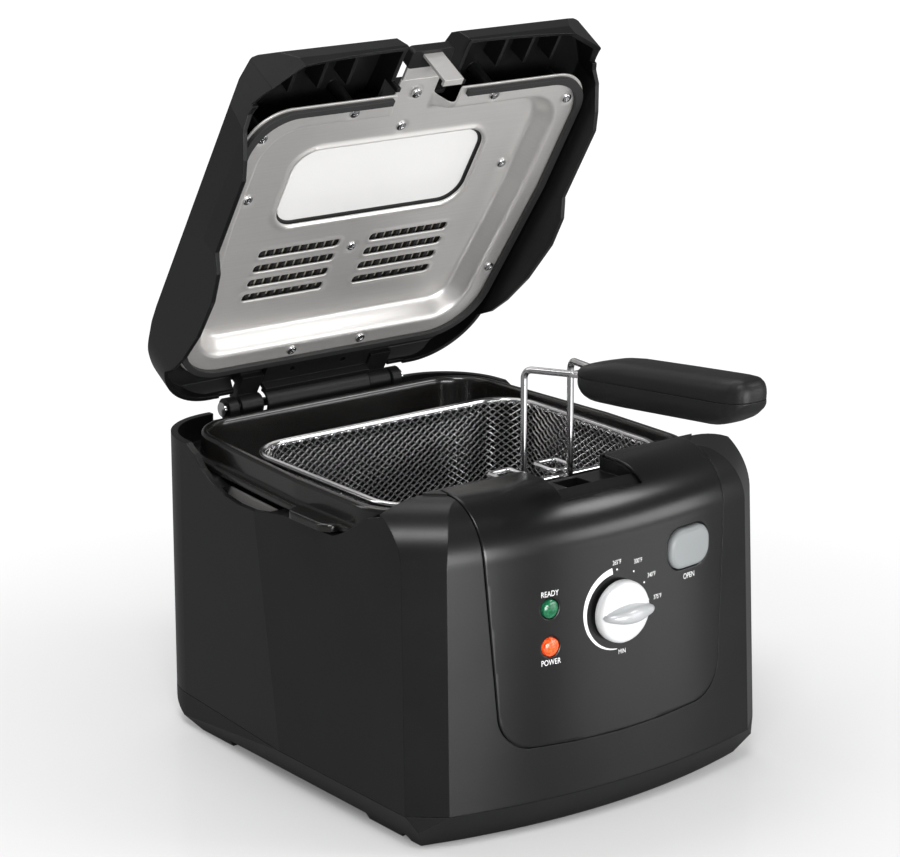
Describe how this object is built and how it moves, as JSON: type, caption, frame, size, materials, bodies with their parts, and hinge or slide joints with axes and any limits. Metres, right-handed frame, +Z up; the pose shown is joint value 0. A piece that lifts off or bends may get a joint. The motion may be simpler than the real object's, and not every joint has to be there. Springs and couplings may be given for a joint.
{
  "type": "deep fryer",
  "caption": "Compact electric deep fryer with a hinged windowed lid, a wire mesh basket that lifts by its long handle, a temperature dial, indicator lamps and a lid release button.",
  "frame": {"origin": "on the standing plane, midway between the side walls, below the middle of the control and pot area", "axes": "+Z up, -Y towards the front with the dial, +X to the right seen from the front"},
  "size_m": [0.231, 0.3707, 0.3771],
  "materials": {
    "black_gloss": "semi-gloss moulded",
    "black_matte": "fine satin moulded",
    "panel_gloss": "polished",
    "rubber_black": "matt",
    "nonstick": "smooth dark coating",
    "brushed": "brushed",
    "wire_steel": "bright wire",
    "alloy": "cast",
    "element_dark": "oxidised sheath",
    "grey_button": "satin",
    "silver_dial": "metallic satin",
    "cream_plastic": "plain moulded",
    "green_lens": "clear tinted",
    "red_lens": "clear tinted, lit",
    "glass_pane": "polished",
    "filter_felt": "felt"
  },
  "bodies": {
    "shell": {"outer_housing": "black_gloss", "base_plinth": "black_matte", "control_panel": "panel_gloss", "foot_pads": "rubber_black", "base_screws": "wire_steel", "cord_inlet": "black_matte", "heat_shield": "brushed", "heater_plate": "alloy", "heating_element": "element_dark", "thermostat": "cream_plastic", "thermal_cutout": "cream_plastic", "terminal_block": "cream_plastic", "ready_lens": "green_lens", "power_lens": "red_lens", "lamp_holders": "cream_plastic", "oil_pot": "nonstick", "hinge_bracket": "black_matte", "hinge_pin": "wire_steel", "hinge_springs": "wire_steel", "button_spring": "wire_steel"},
    "lid": {"lid_shell": "black_gloss", "lid_liner": "brushed", "lid_gasket": "rubber_black", "window_glass": "glass_pane", "window_seal": "rubber_black", "filter_pad": "filter_felt", "filter_cover": "black_matte", "latch_tongue": "brushed", "latch_cap": "black_matte", "hinge_cover": "black_matte", "hinge_arms": "black_matte", "lid_screws": "wire_steel"},
    "dial": {"temperature_knob": "silver_dial", "knob_spindle": "wire_steel"},
    "opener": {"open_button": "grey_button", "latch_slider": "cream_plastic"},
    "basket": {"basket_rim": "wire_steel", "basket_mesh": "wire_steel", "basket_hooks": "wire_steel", "handle_wires": "wire_steel", "grip_upper": "black_matte", "grip_lower": "black_matte", "grip_screws": "wire_steel"}
  },
  "joints": [
    {"name": "lid_hinge", "type": "hinge", "parent": "shell", "child": "lid", "pos_m": [0, 0.144, 0.164], "axis": [1, 0, 0], "range_deg": [0, 57.8], "stiffness_Nm_per_rad": 0.5, "springref_deg": -114.59},
    {"name": "basket_lift", "type": "slide", "parent": "shell", "child": "basket", "axis": [0, 0, 1], "range_m": [-0.038, 0]},
    {"name": "dial_turn", "type": "hinge", "parent": "shell", "child": "dial", "pos_m": [-0.001, -0.12, 0.11001], "axis": [0, -1, 0], "range_deg": [0, 265]},
    {"name": "open_press", "type": "slide", "parent": "shell", "child": "opener", "axis": [0, 1, 0], "range_m": [0, 0.003], "stiffness_N_per_m": 400, "springref_m": -0.001, "deforming": ["button_spring"]}
  ]
}
